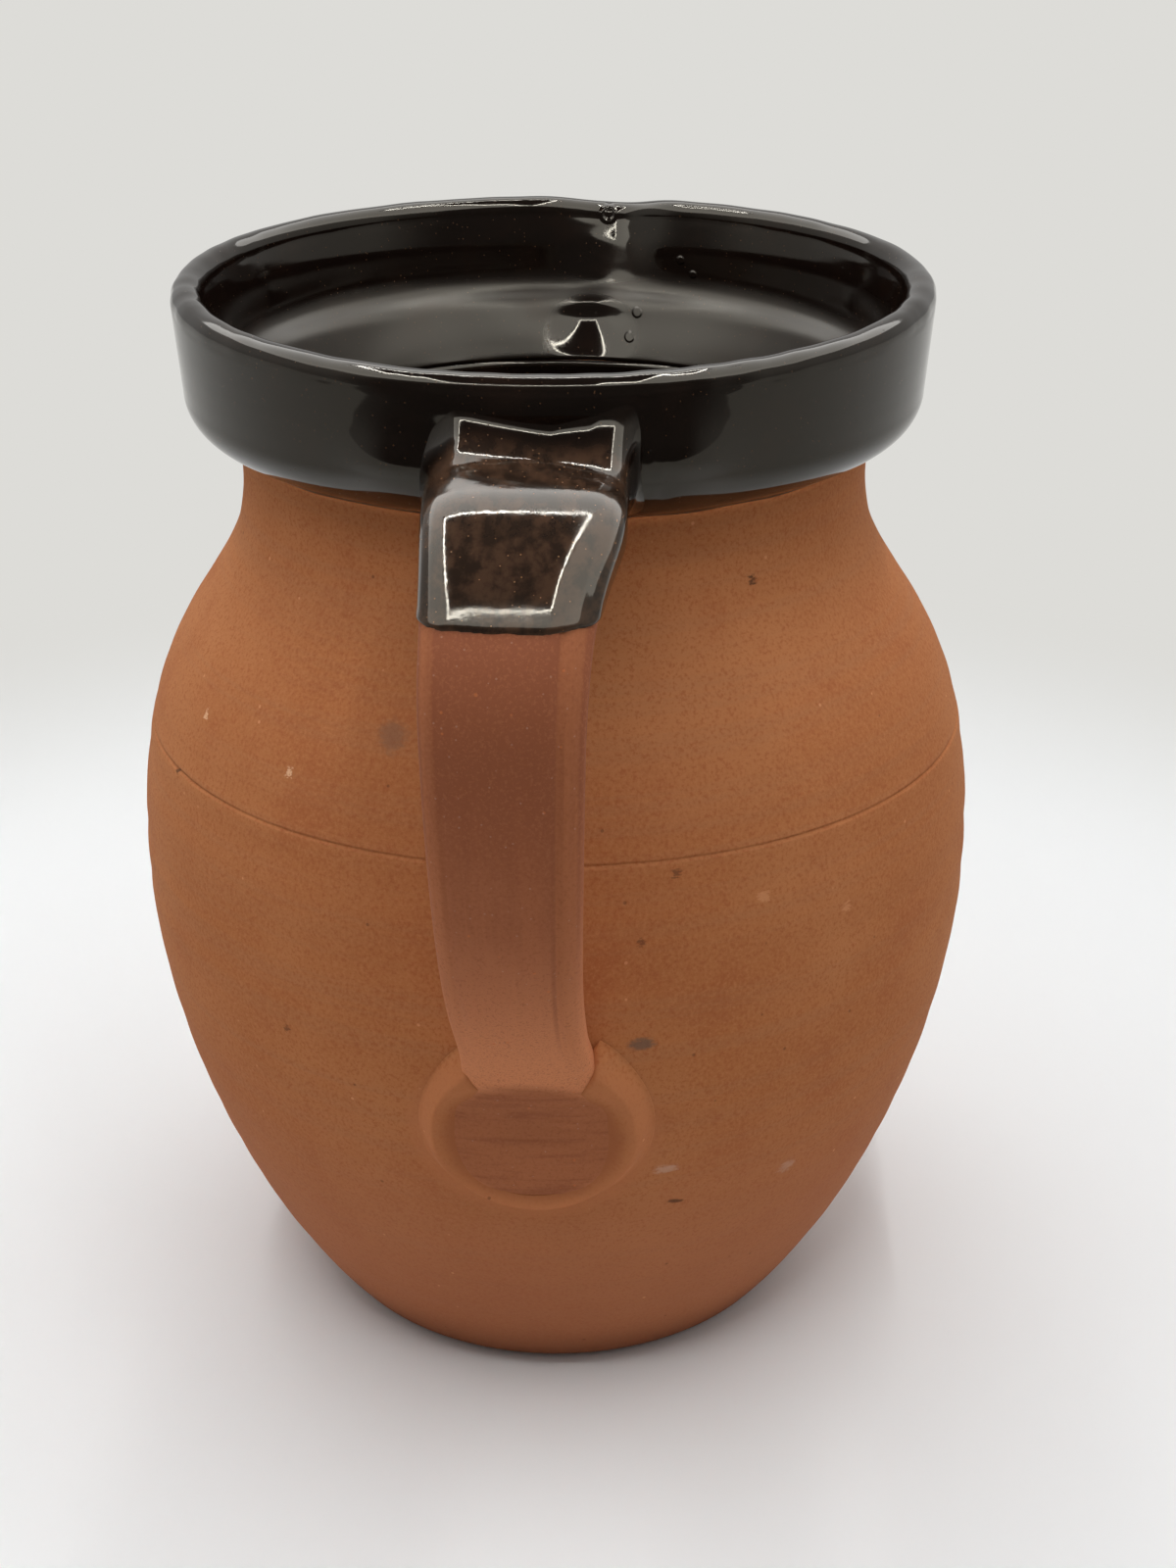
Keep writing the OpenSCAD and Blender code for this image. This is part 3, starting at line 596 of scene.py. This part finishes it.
def makeStrapGlaze():
    g = glazing
    rootU = np.interp(np.linspace(0, 1, 34) ** 1.6, rootShares, np.arange(6))[:, None]
    # for each point round the section, the station where it crosses the dip line
    probe = np.linspace(7, 24, 500)[:, None]
    heights = strapRing(probe, g["thick"], g["thick"], g["thick"], marks=False)[..., 2]
    dip = g["dipZ"] + g["waver"] * waves(np.linspace(0, 2 * math.pi, len(across), endpoint=False), 71, 2, 9, 0.6) * 0.4
    end = np.array([probe[:, 0][np.argmax(heights[:, j] < dip[j])] for j in range(len(across))])
    rest = crestFrom + (end - crestFrom)[None, :] * np.linspace(0, 1, 90)[1:, None] ** 0.9
    u = np.concatenate([rootU + 0 * across, rest])
    side, top, under = lutingGrow(u)
    plain = strapRing(u, side, top, under, stand=g["thick"] - 0.04, marks=False)
    run = np.concatenate([np.zeros((1, len(across))), np.cumsum(np.linalg.norm(np.diff(plain, axis=0), axis=-1), axis=0)])
    toEdge = run[-1:] - run
    rise = np.sqrt(np.clip(toEdge / 0.5, 0, 1) * (2 - np.clip(toEdge / 0.5, 0, 1)))
    bead = g["strapBead"] * np.exp(-((toEdge - 0.8) / g["strapBeadWidth"]) ** 2)
    thick = (g["thick"] + bead) * rise
    streaks = 0.05 * waves(across * 5, 73, 4, 16, 0.3) * smoothstep((np.abs(across) - 0.75) / 0.15) * smoothstep((u - 4) / 4)
    thick = thick + streaks * smoothstep(toEdge / 2)
    outer = strapRing(u, side + thick, top + thick, under + thick, stand=g["thick"] - 0.04, marks=False)
    inner = strapRing(u[::-1], side[::-1], top[::-1], under[::-1], stand=0.1, marks=False)
    return makePiece("strapGlaze", np.concatenate([outer, inner]), ["handle_glaze"], wrapRows=True)


pieces = {"body": makeBody(), "collar": makeCollar(), "strap": makeStrap(), "root": makeUpperLuting(),
          "ring": makeLowerLuting(), "lining": makeLining(), "collarGlaze": makeCollarGlaze(),
          "strapGlaze": makeStrapGlaze()}
print("pieces made:", {p.name: len(p.data.vertices) for p in pieces.values()})


# materials
class Wire:
    # a socket that takes part in Python sums
    def __init__(self, paint, socket):
        self.paint, self.socket = paint, socket

    def maths(self, operation, *others):
        node = self.paint.add("ShaderNodeMath", {"operation": operation},
                              dict(enumerate((self, *others))))
        return Wire(self.paint, node.outputs[0])

    def __add__(self, other):
        return self.maths("ADD", other)

    def __mul__(self, other):
        return self.maths("MULTIPLY", other)

    def __sub__(self, other):
        return self.maths("SUBTRACT", other)

    def __truediv__(self, other):
        return self.maths("DIVIDE", other)

    def __pow__(self, other):
        return self.maths("POWER", other)

    def __rsub__(self, other):
        return (self * -1.0) + other

    __radd__ = __add__
    __rmul__ = __mul__

    def clamped(self):
        return self.maths("MAXIMUM", 0.0).maths("MINIMUM", 1.0)

    def between(self, low, high):
        # 0 under low, 1 over high, smooth between
        node = self.paint.add("ShaderNodeMapRange", {"interpolation_type": "SMOOTHSTEP"},
                              {"Value": self, "From Min": low, "From Max": high})
        return Wire(self.paint, node.outputs["Result"])


class Paint:
    def __init__(self, name, tree=None):
        if tree is None:
            self.material = bpy.data.materials.new(name)
            self.material.use_nodes = True
            tree = self.material.node_tree
        self.tree = tree
        tree.nodes.clear()

    def add(self, kind, settings=None, values=None):
        node = self.tree.nodes.new(kind)
        for key, value in (settings or {}).items():
            setattr(node, key, value)
        for key, value in (values or {}).items():
            if isinstance(value, Wire):
                self.tree.links.new(value.socket, node.inputs[key])
            else:
                node.inputs[key].default_value = value
        return node

    def out(self, kind, output, settings=None, values=None):
        return Wire(self, self.add(kind, settings, values).outputs[output])

    def place(self):
        return self.out("ShaderNodeTexCoord", "Object")

    def scaled(self, vector, x, y, z):
        return self.out("ShaderNodeVectorMath", "Vector", {"operation": "MULTIPLY"}, {0: vector, 1: (x, y, z)})

    def noise(self, vector, scale, detail=3.0, rough=0.55):
        return self.out("ShaderNodeTexNoise", 0, None,
                        {"Vector": vector, "Scale": scale, "Detail": detail, "Roughness": rough})

    def specks(self, vector, scale, size, share, seed=0.0):
        # round dots: 1 in a dot, 0 elsewhere, with the given share of the cells dotted
        moved = self.out("ShaderNodeVectorMath", "Vector", {"operation": "ADD"}, {0: vector, 1: (seed, seed, seed)})
        node = self.add("ShaderNodeTexVoronoi", {"feature": "F1"}, {"Vector": moved, "Scale": scale})
        near = 1.0 - Wire(self, node.outputs["Distance"]).between(size * 0.6, size)
        split = self.add("ShaderNodeSeparateColor", None, {0: Wire(self, node.outputs["Color"])})
        return near * Wire(self, split.outputs[0]).between(1.0 - share, 1.0 - share + 0.01)

    def away(self, at, place, stretch=(1, 1, 1)):
        # distance from a place
        moved = self.out("ShaderNodeVectorMath", "Vector", {"operation": "SUBTRACT"}, {0: at, 1: place})
        return self.out("ShaderNodeVectorMath", "Value", {"operation": "LENGTH"}, {0: self.scaled(moved, *stretch)})

    def pressedEnd(self, at):
        # distance from the middle of the strap's pressed end
        return self.away(at, markPlace(-90, strap["pressZ"] - 0.5, 1), (0.9, 0.3, 1))

    def blend(self, factor, a, b, kind="MIX"):
        node = self.add("ShaderNodeMix", {"data_type": "RGBA", "blend_type": kind}, {0: factor, 6: a, 7: b})
        return Wire(self, node.outputs[2])

    def bump(self, height, distance, strength=1.0, normal=None):
        values = {"Height": height, "Distance": distance, "Strength": strength}
        if normal is not None:
            values["Normal"] = normal
        return self.out("ShaderNodeBump", "Normal", None, values)

    def finish(self, values):
        shader = self.add("ShaderNodeBsdfPrincipled", None, values)
        self.add("ShaderNodeOutputMaterial", None, {"Surface": Wire(self, shader.outputs["BSDF"])})
        return self.material


def tone(r, g, b):
    # a colour as it reads on screen, turned into the linear values that sockets take
    def line(c):
        c /= 255
        return c / 12.92 if c <= 0.04045 else ((c + 0.055) / 1.055) ** 2.4
    return line(r), line(g), line(b), 1.0


def markPlace(turn, z, extra=0.0):
    r = (outerR(z) + extra) / 1000
    a = math.radians(turn)
    return r * math.cos(a), r * math.sin(a), z / 1000


# foot holds painted shade for the base, ring a painted highlight for the crest of the ring round the pressed end
terracotta = {
    "colour": tone(180, 112, 67), "pale": tone(190, 124, 78), "red": tone(168, 97, 58), "dust": tone(168, 117, 82),
    "dark": tone(92, 60, 42), "foot": tone(138, 84, 58), "low": tone(174, 110, 80), "ring": tone(192, 122, 80), "roughness": 0.82,
}
# low holds painted light for the strap's downward-facing lower part, side a painted highlight along its edges
strapClay = {
    "colour": tone(162, 96, 62), "pale": tone(172, 107, 72), "dark": tone(144, 83, 54), "speck": tone(206, 116, 64),
    "low": tone(214, 138, 94), "side": tone(184, 114, 72), "pressed": tone(163, 98, 62), "roughness": 0.74,
}
glazeLook = {
    "colour": tone(19, 12, 9), "brown": tone(36, 22, 15), "thin": tone(40, 29, 22), "thinBrown": tone(70, 50, 37),
    "speck": tone(150, 104, 66), "roughness": 0.07, "shelf": 0.24,
}
bubbles = (
    ((7.3, 65.3, 196.2), 1.3, 1.9), ((13.5, 55, 179), 0, 1.1), ((12, 51.5, 174.6), 0, 1.0), ((22, 57.5, 189), 0, 1.0),
    ((24.5, 56, 186.5), 0, 0.9),
)
# small marks on the clay: turn, height and size in mm, stretch upward, colour, strength
marks = (
    (-144.7, 131.0, 0.7, 1, (236, 190, 150), 0.8), (-148.7, 119.0, 0.8, 1, (84, 54, 38), 0.8),
    (-124.5, 128.7, 0.6, 1, (236, 190, 150), 0.8), (-51.9, 157.7, 1.0, 1, (70, 46, 34), 0.8),
    (-76.5, 87.6, 2.8, 0.5, (104, 88, 76), 0.75), (-72.2, 59.6, 2.6, 0.4, (206, 168, 146), 0.55),
    (-52.2, 51.8, 2.2, 0.7, (206, 168, 146), 0.45), (-70.4, 51.0, 1.7, 0.3, (84, 54, 38), 0.8),
    (-109.8, 137.4, 3.0, 1.2, (132, 100, 80), 0.5), (-60.4, 110.9, 1.2, 1, (214, 150, 104), 0.6),
    (-47.5, 104.4, 1.2, 1, (214, 150, 104), 0.6), (-72.0, 117.6, 0.8, 1, (92, 60, 42), 0.6),
    (-123.7, 82.8, 0.8, 1, (92, 60, 42), 0.6), (-76.5, 106.7, 0.7, 1, (92, 60, 42), 0.6),
)


def paintTerracotta():
    t = terracotta
    p = Paint("terracotta")
    at = p.place()
    mottle = p.noise(at, 22.0, 4.0, 0.6)
    cloud = p.noise(at, 60.0, 4.0, 0.6)
    rings = p.noise(p.scaled(at, 5.0, 5.0, 420.0), 1.0, 3.0, 0.6)
    fineRings = p.noise(p.scaled(at, 14.0, 14.0, 1500.0), 1.0, 2.0, 0.5)
    grain = p.noise(at, 1500.0, 3.0, 0.7)
    grit = p.noise(at, 4200.0, 2.0, 0.6)
    colour = p.blend(mottle.between(0.35, 0.7), t["colour"], t["pale"])
    colour = p.blend(cloud.between(0.5, 0.72) * 0.45, colour, t["red"])
    colour = p.blend(rings.between(0.45, 0.7) * 0.25, colour, t["dust"])
    colour = p.blend(grain.between(0.5, 0.66) * 0.75, colour, t["red"])
    colour = p.blend((1.0 - grain.between(0.34, 0.5)) * 0.65, colour, t["pale"])
    height0 = Wire(p, p.add("ShaderNodeSeparateXYZ", None, {0: at}).outputs[2])
    # the clay turns pinker towards the bottom, up to about 80 mm; painted shade darkens it within 16 mm of the foot
    colour = p.blend((1.0 - height0.between(0.02, 0.08)) * 0.6, colour, t["low"])
    colour = p.blend((1.0 - height0.between(0.0, 0.016)) * 0.7, colour, t["foot"])
    end = p.pressedEnd(at)
    # painted highlight: a lighter band over the crest of the ring round the pressed end
    colour = p.blend(end.between(0.0125, 0.0155) * (1.0 - end.between(0.0175, 0.021)) * 0.7, colour, t["ring"])
    colour = p.blend((1.0 - end.between(0.012, 0.0155)) * 0.9, colour, strapClay["pressed"])
    ragged = (p.noise(p.scaled(at, 500.0, 500.0, 1400.0), 1.0, 4.0, 0.75) - 0.5) * 0.005
    for turn, z, size, stretch, shade, strength in marks:
        away = p.away(at, markPlace(turn, z), (1, 1, 1 / stretch)) + ragged
        mark = 1.0 - away.between(size * 0.0004, size * 0.0011)
        colour = p.blend(mark * strength, colour, tone(*shade))
    dots = p.specks(at, 260.0, 0.1, 0.12, 3.1)
    colour = p.blend(dots * 0.5, colour, t["dark"])
    paleDots = p.specks(at, 320.0, 0.12, 0.1, 7.7)
    colour = p.blend(paleDots * 0.45, colour, tone(232, 168, 120))
    height = rings * 0.5 + fineRings * 0.25 + grain * 0.4 + grit * 0.2 - dots * 0.3
    normal = p.bump(height, 0.00022, 0.7)
    rough = t["roughness"] + (grain - 0.5) * 0.12
    return p.finish({"Base Color": colour, "Roughness": rough, "Normal": normal, "Specular IOR Level": 0.1})


def paintStrap():
    t = strapClay
    p = Paint("strapClay")
    at = p.place()
    uv = p.out("ShaderNodeUVMap", "UV", {"uv_map": "along"})
    streak = p.noise(p.scaled(uv, 0.55, 0.02, 1.0), 1.0, 3.0, 0.55)
    fineStreak = p.noise(p.scaled(uv, 2.6, 0.045, 1.0), 1.0, 2.0, 0.5)
    split = p.add("ShaderNodeSeparateXYZ", None, {0: at})
    z = Wire(p, split.outputs[2])
    pressed = 1.0 - p.pressedEnd(at).between(0.012, 0.0155)
    low = 1.0 - z.between(0.082, 0.135)
    round0 = Wire(p, p.add("ShaderNodeSeparateXYZ", None, {0: uv}).outputs[0])
    drag = p.noise(p.scaled(at, 60.0, 60.0, 700.0), 1.0, 3.0, 0.6)
    mottle = p.noise(at, 60.0, 4.0, 0.6)
    grain = p.noise(at, 1700.0, 3.0, 0.7)
    colour = p.blend(streak.between(0.38, 0.72) * 0.55, t["colour"], t["dark"])
    colour = p.blend(mottle.between(0.45, 0.7) * 0.4, colour, t["pale"])
    # painted light: the strap's lower part, which faces down, is painted lighter below about 135 mm; above 128 mm the
    # strap is painted darker
    colour = p.blend(low, colour, t["low"])
    colour = p.blend(z.between(0.128, 0.15) * 0.85, colour, t["dark"])
    # painted highlight: lighter stripes along the strap's two edges, broken up by the streaks
    rightEdgeHighlight = (1.0 - round0.between(7.9, 8.5)) * round0.between(3.6, 4.6)
    leftEdgeHighlight = round0.between(27.4, 28.4) * (1.0 - round0.between(30.0, 31.0))
    edge = (rightEdgeHighlight + leftEdgeHighlight) * (0.45 + streak.between(0.35, 0.65) * 0.55)
    colour = p.blend(edge * z.between(0.083, 0.098) * 0.55, colour, t["side"])
    # painted shade: a dark line along the groove beside the strap's right edge
    line = round0.between(8.0, 8.4) * (1.0 - round0.between(8.6, 9.4)) * z.between(0.09, 0.105)
    colour = p.blend(line * 0.5, colour, t["dark"])
    colour = p.blend(pressed * 0.9, colour, t["pressed"])
    colour = p.blend(pressed * drag.between(0.46, 0.66) * 0.6, colour, t["dark"])
    orange = p.specks(at, 420.0, 0.14, 0.22, 1.3)
    colour = p.blend(orange * 0.6, colour, t["speck"])
    pale = p.specks(at, 900.0, 0.18, 0.2, 5.3)
    colour = p.blend(pale * 0.25, colour, tone(210, 180, 160))
    colour = p.blend(grain.between(0.5, 0.68) * 0.5, colour, t["dark"])
    colour = p.blend((1.0 - grain.between(0.34, 0.5)) * 0.45, colour, t["pale"])
    strapHeight = streak * 0.5 + fineStreak * 0.2
    height = strapHeight * (1.0 - pressed) + drag * pressed * 0.8 + grain * 0.4 + orange * 0.3
    normal = p.bump(height, 0.00022, 0.65)
    rough = t["roughness"] + (grain - 0.5) * 0.1
    return p.finish({"Base Color": colour, "Roughness": rough, "Normal": normal, "Specular IOR Level": 0.15})


def paintGlaze():
    t = glazeLook
    p = Paint("treacleGlaze")
    at = p.place()
    pool = p.noise(at, 90.0, 4.0, 0.6)
    run = p.noise(p.scaled(at, 260.0, 260.0, 60.0), 1.0, 3.0, 0.6)
    peel = p.noise(at, 130.0, 2.0, 0.5)
    fine = p.noise(at, 700.0, 2.0, 0.5)
    colour = p.blend(pool.between(0.45, 0.8) * 0.5, t["colour"], t["brown"])
    colour = p.blend(run.between(0.62, 0.85) * 0.25, colour, t["brown"])
    split = p.add("ShaderNodeSeparateXYZ", None, {0: at})
    y, z = Wire(p, split.outputs[1]), Wire(p, split.outputs[2])
    onStrap = (y * -1.0).between(0.0675, 0.0715)
    blot = p.noise(p.scaled(at, 300.0, 180.0, 300.0), 1.0, 4.0, 0.65)
    thin = p.blend(blot.between(0.38, 0.64), t["thin"], t["thinBrown"])
    colour = p.blend(onStrap * 0.9, colour, thin)
    specks = p.specks(at, 1000.0, 0.15, 0.45, 2.2)
    colour = p.blend(specks * (0.2 + onStrap * 0.55), colour, t["speck"])
    pits = p.specks(at, 380.0, 0.09, 0.16, 6.1)
    height = peel * 0.6 + fine * 0.05 - pits * 0.6 + onStrap * p.noise(at, 420.0, 3.0, 0.6) * 0.5
    normal = p.bump(height, 0.0002, 0.2)
    # a burst bubble on the lip and small pimples inside, as (x, y, z), inner and outer size in mm
    spots = 0.0
    for place, inner, size in bubbles:
        away = p.away(at, [c / 1000 for c in place], (1, 0.3, 1))
        spots = spots + away.between(inner * 0.0006, inner * 0.001 + 1e-6) * (1.0 - away.between(size * 0.0007, size * 0.0011))
    normal = p.bump(spots, 0.00025, 0.8, normal)
    # the shelf under the inside of the collar is duller, except in the finger's hollow
    reach = p.out("ShaderNodeVectorMath", "Value", {"operation": "LENGTH"}, {0: p.scaled(at, 1, 1, 0)})
    pit = p.away(at, (0.0042, 0.0525, 0.174)).between(0.0075, 0.0105)
    shelf = (1.0 - reach.between(0.0598, 0.0606)) * z.between(0.1702, 0.172) * (1.0 - z.between(0.184, 0.187)) * pit
    rough = t["roughness"] + pool.between(0.4, 0.8) * 0.05 + specks * 0.2 + shelf * t["shelf"]
    return p.finish({"Base Color": colour, "Roughness": rough, "Normal": normal, "IOR": 1.5, "Specular IOR Level": 0.42,
                     "Specular Tint": (1.0, 0.94, 0.8, 1.0)})


def cover(material, *names):
    for name in names:
        pieces[name].data.materials.clear()
        pieces[name].data.materials.append(material)


cover(paintTerracotta(), "body", "collar", "root", "ring")
cover(paintStrap(), "strap")
cover(paintGlaze(), "lining", "collarGlaze", "strapGlaze")
print("materials made")

# stage, lamps and camera
stage = {
    "floor": tone(228, 228, 227), "seenFloor": tone(246, 248, 249), "backdrop": tone(221, 220, 216),
    "side": 3.0, "back": 3.0, "front": 0.4, "paperFrom": 0.2, "paperTo": 0.4,
}
lamps = {
    "left": -0.2, "right": 0.13, "near": -0.373, "far": 0.153, "height": 0.6,  # a frame of small lamps overhead
    "bar": 0.009, "spacing": 0.0125, "power": 2.6,
    "panel": 0.85, "gloss": 2.8, "panelReach": 0.62, "panelGap": 0.02, "panelFront": 0.1,  # the pale roof round that frame
    "wall": 0.62, "roof": 0.06, "front": 0.1,
}
view = {"azimuth": 3.3, "away": 412.84, "height": 288.62, "pitch": 0.4286, "yaw": 0.0145, "lens": 54.09}


def makeFloor():
    g = stage
    mesh = bpy.data.meshes.new("floor")
    mesh.from_pydata([(-g["side"], -g["front"], 0), (g["side"], -g["front"], 0), (g["side"], g["back"], 0),
                      (-g["side"], g["back"], 0)], [], [(0, 1, 2, 3)])
    floor = bpy.data.objects.new("floor", mesh)
    bpy.context.scene.collection.objects.link(floor)
    p = Paint("paperFloor")
    at = p.place()
    tint = p.noise(at, 3.0, 2.0, 0.5)
    lightPath = p.add("ShaderNodeLightPath")
    seen = (Wire(p, lightPath.outputs["Is Camera Ray"]) + Wire(p, lightPath.outputs["Is Glossy Ray"])).clamped()
    colour = p.blend(seen, g["floor"], g["seenFloor"])
    colour = p.blend(tint.between(0.3, 0.7) * 0.05, colour, tone(226, 225, 224))
    paper = p.add("ShaderNodeBsdfPrincipled", None, {"Base Color": colour, "Roughness": 0.7, "Specular IOR Level": 0.15})
    plain = p.add("ShaderNodeEmission", None, {"Color": g["backdrop"], "Strength": 1.0})
    away = p.out("ShaderNodeVectorMath", "Value", {"operation": "LENGTH"}, {0: at})
    factor = seen * away.between(g["paperFrom"], g["paperTo"])
    both = p.add("ShaderNodeMixShader", None, {0: factor, 1: Wire(p, paper.outputs[0]), 2: Wire(p, plain.outputs[0])})
    p.add("ShaderNodeOutputMaterial", None, {"Surface": Wire(p, both.outputs[0])})
    mesh.materials.append(p.material)


def addArea(name, place, turn, width, depth, power, colour=(1, 1, 1)):
    data = bpy.data.lights.new(name, "AREA")
    data.shape, data.size, data.size_y = "RECTANGLE", width, depth
    data.energy, data.color = power, colour
    lamp = bpy.data.objects.new(name, data)
    lamp.matrix_world = Matrix.Translation(place) @ turn.to_matrix().to_4x4()
    lamp.visible_camera = False
    bpy.context.scene.collection.objects.link(lamp)
    return lamp


def beads(lamp, count, alongWidth):
    # breaks a long lamp into a row of small bright dots
    lamp.data.use_nodes = True
    p = Paint("beads", lamp.data.node_tree)
    place = p.add("ShaderNodeSeparateXYZ", None, {0: p.out("ShaderNodeNewGeometry", "Parametric")})
    run = Wire(p, place.outputs[0 if alongWidth else 1])
    dot = (run * count).maths("FRACT")
    lit = dot.between(0.1, 0.3) * (1.0 - dot.between(0.7, 0.9)) * 1.7 + 0.05
    glow = p.add("ShaderNodeEmission", None, {"Strength": lit})
    p.add("ShaderNodeOutputLight", None, {"Surface": Wire(p, glow.outputs[0])})


def makeLamps():
    s = lamps
    down = Vector((0, 0, -1)).to_track_quat("-Z", "Y")
    left, right, near, far, z = s["left"], s["right"], s["near"], s["far"], s["height"]
    wide, deep, x, y = right - left, far - near, (left + right) / 2, (near + far) / 2
    each = s["power"] / 2 / (wide + deep)
    for name, place, w, d in (("barBack", (x, far), wide, s["bar"]), ("barFront", (x, near), wide, s["bar"]),
                              ("barLeft", (left, y), s["bar"], deep), ("barRight", (right, y), s["bar"], deep)):
        lamp = addArea(name, (*place, z), down, w, d, each * max(w, d))
        beads(lamp, round(max(w, d) / s["spacing"]), w > d)
    gap, reach = s["panelGap"], s["panelReach"]
    panels = (("roofLeft", -reach, left - gap, near - s["panelFront"], reach),
              ("roofRight", right + gap, reach, near - s["panelFront"], reach),
              ("roofBack", left - gap, right + gap, far + gap, reach),
              ("roofFront", left - gap, right + gap, near - s["panelFront"], near - gap))
    for name, x0, x1, y0, y1 in panels:
        area = (x1 - x0) * (y1 - y0)
        for kind in ("panel", "gloss"):
            place = ((x0 + x1) / 2, (y0 + y1) / 2, z + (0.004 if kind == "panel" else 0.002))
            lamp = addArea(name + kind.title(), place, down, x1 - x0, y1 - y0,
                           math.pi * area * s[kind])
            lamp.visible_glossy, lamp.visible_diffuse = kind == "gloss", kind == "panel"


def makeWorld():
    s = lamps
    world = bpy.data.worlds.new("room")
    bpy.context.scene.world = world
    world.use_nodes = True
    p = Paint("room", world.node_tree)
    way = p.out("ShaderNodeTexCoord", "Generated")
    parts = p.add("ShaderNodeSeparateXYZ", None, {0: way})
    y, z = Wire(p, parts.outputs[1]), Wire(p, parts.outputs[2])
    opening = (y * -1.0).between(0.3, 0.75)
    roof = z.between(0.55, 0.75)
    level = s["wall"] * (1.0 - opening) + s["front"] * opening
    level = level * (1.0 - roof) + roof * s["roof"]
    level = level * (0.7 + 0.3 * z.between(-0.2, 0.3))
    isCamera = p.out("ShaderNodeLightPath", "Is Camera Ray")
    shown = p.blend(isCamera, (1.0, 0.99, 0.97, 1), stage["backdrop"])
    back = p.add("ShaderNodeBackground", None, {"Color": shown, "Strength": level * (1.0 - isCamera) + isCamera})
    p.add("ShaderNodeOutputWorld", None, {"Surface": Wire(p, back.outputs[0])})


def makeCamera():
    v = view
    a = math.radians(v["azimuth"])
    right, ahead = Vector((math.cos(a), math.sin(a), 0)), Vector((-math.sin(a), math.cos(a), 0))
    data = bpy.data.cameras.new("camera")
    data.lens, data.sensor_width, data.clip_start, data.clip_end = v["lens"], 36, 0.01, 50
    camera = bpy.data.objects.new("camera", data)
    level = math.cos(v["pitch"])
    look = right * math.sin(v["yaw"]) * level + ahead * math.cos(v["yaw"]) * level - Vector((0, 0, math.sin(v["pitch"])))
    camera.location = Vector((math.sin(a) * v["away"], -math.cos(a) * v["away"], v["height"])) / 1000
    camera.rotation_mode = "QUATERNION"
    camera.rotation_quaternion = look.to_track_quat("-Z", "Y")
    bpy.context.scene.collection.objects.link(camera)
    bpy.context.scene.camera = camera


makeFloor()
makeLamps()
makeWorld()
makeCamera()
bpy.context.scene.view_settings.view_transform = "Standard"
print("stage made")

bpy.context.view_layer.update()
